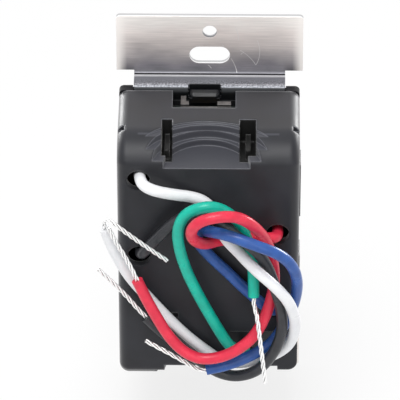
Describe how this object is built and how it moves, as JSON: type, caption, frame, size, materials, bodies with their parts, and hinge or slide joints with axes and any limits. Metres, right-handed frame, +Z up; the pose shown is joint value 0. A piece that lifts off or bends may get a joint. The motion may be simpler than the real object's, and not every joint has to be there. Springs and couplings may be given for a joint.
{
  "type": "smart light switch",
  "caption": "Wall-box smart light switch with a steel strap, rocking paddle, black rear housing, radio and relay boards, and short insulated leads with bare twisted ends.",
  "frame": {"origin": "centre of the mounting strap, on the rear faces of its two ears", "axes": "+Z up along the strap, +Y from the front towards the wall box, +X to the left seen from behind"},
  "size_m": [0.0504, 0.056, 0.1054],
  "materials": {
    "galvanised_steel": "zinc-coated sheet, fine grain, light scratches",
    "black_frame_plastic": "moulded, slightly glossy",
    "black_housing_plastic": "moulded, fine matte texture",
    "white_plastic": "smooth, satin",
    "light_pipe": "clear moulded plastic",
    "circuit_board": "green solder mask",
    "dark_board": "blue solder mask",
    "black_plastic_small": "moulded component body",
    "switch_plunger": "moulded",
    "led_white": "clear domed body",
    "tin_plate": "tin plated",
    "gold_pins": "thin gold plate",
    "insulating_sheet": "thin flexible sheet",
    "relay_blue": "moulded cover",
    "copper_winding": "enamelled wire",
    "soft_iron": "bare",
    "ferrite": "sintered",
    "capacitor_sleeve": "shrink sleeve",
    "film_yellow": "moulded box",
    "varistor_red": "dipped coating",
    "resistor_body": "lacquered",
    "brass": "plain",
    "zinc_clip": "plated spring metal",
    "rivet_metal": "plain",
    "insulation_white": "smooth extruded insulation",
    "insulation_black": "smooth extruded insulation",
    "insulation_red": "smooth extruded insulation",
    "insulation_green": "smooth extruded insulation",
    "insulation_blue": "smooth extruded insulation",
    "tinned_strand": "twisted tinned strands"
  },
  "bodies": {
    "chassis": {"mounting_strap": "galvanised_steel", "sub_frame": "black_frame_plastic", "front_bezel": "white_plastic", "control_board": "circuit_board", "tact_switch_body": "black_plastic_small", "status_led": "led_white", "radio_board": "dark_board", "radio_shield": "tin_plate", "radio_chip": "black_plastic_small", "controller_chip": "black_plastic_small", "board_socket": "black_plastic_small", "board_header": "black_plastic_small", "header_pins": "gold_pins", "insulator_sheet": "insulating_sheet", "main_board": "circuit_board", "relay_base": "black_plastic_small", "relay_cover": "relay_blue", "relay_coil": "copper_winding", "relay_core": "soft_iron", "relay_yoke": "soft_iron", "transformer_bobbin": "black_plastic_small", "transformer_winding": "copper_winding", "transformer_core": "ferrite", "bulk_capacitor": "capacitor_sleeve", "output_capacitor": "capacitor_sleeve", "film_capacitor": "film_yellow", "varistor": "varistor_red", "fuse_resistor": "resistor_body", "bridge_rectifier": "black_plastic_small", "regulator": "black_plastic_small", "lead_eyelets": "brass", "ground_lug": "brass", "ground_rivet": "rivet_metal", "rear_housing": "black_housing_plastic", "latch_clips": "zinc_clip", "wire_white": "insulation_white", "wire_black": "insulation_black", "wire_red": "insulation_red", "wire_green": "insulation_green", "wire_blue": "insulation_blue", "bare_white": "tinned_strand", "bare_black": "tinned_strand", "bare_red": "tinned_strand", "bare_green": "tinned_strand", "bare_blue": "tinned_strand"},
    "paddle": {"paddle": "white_plastic", "light_pipe": "light_pipe"},
    "plunger": {"tact_plunger": "switch_plunger"},
    "armature": {"relay_armature": "soft_iron"}
  },
  "joints": [
    {"name": "paddle_hinge", "type": "hinge", "parent": "chassis", "child": "paddle", "pos_m": [0, -0.0032, 0.027], "axis": [1, 0, 0], "range_deg": [0, 0.8], "stiffness_Nm_per_rad": 0.6, "springref_deg": -0.57},
    {"name": "plunger_slide", "type": "slide", "parent": "chassis", "child": "plunger", "axis": [0, 1, 0], "range_m": [0, 0.00027]},
    {"name": "armature_hinge", "type": "hinge", "parent": "chassis", "child": "armature", "pos_m": [0.004, 0.0219, 0.0186], "axis": [1, 0, 0], "range_deg": [0, 3.8], "stiffness_Nm_per_rad": 0.01, "springref_deg": -2.86}
  ],
  "couplings": [
    {"joint": "plunger_slide", "follows": "paddle_hinge", "m_per_rad": 0.018}
  ]
}
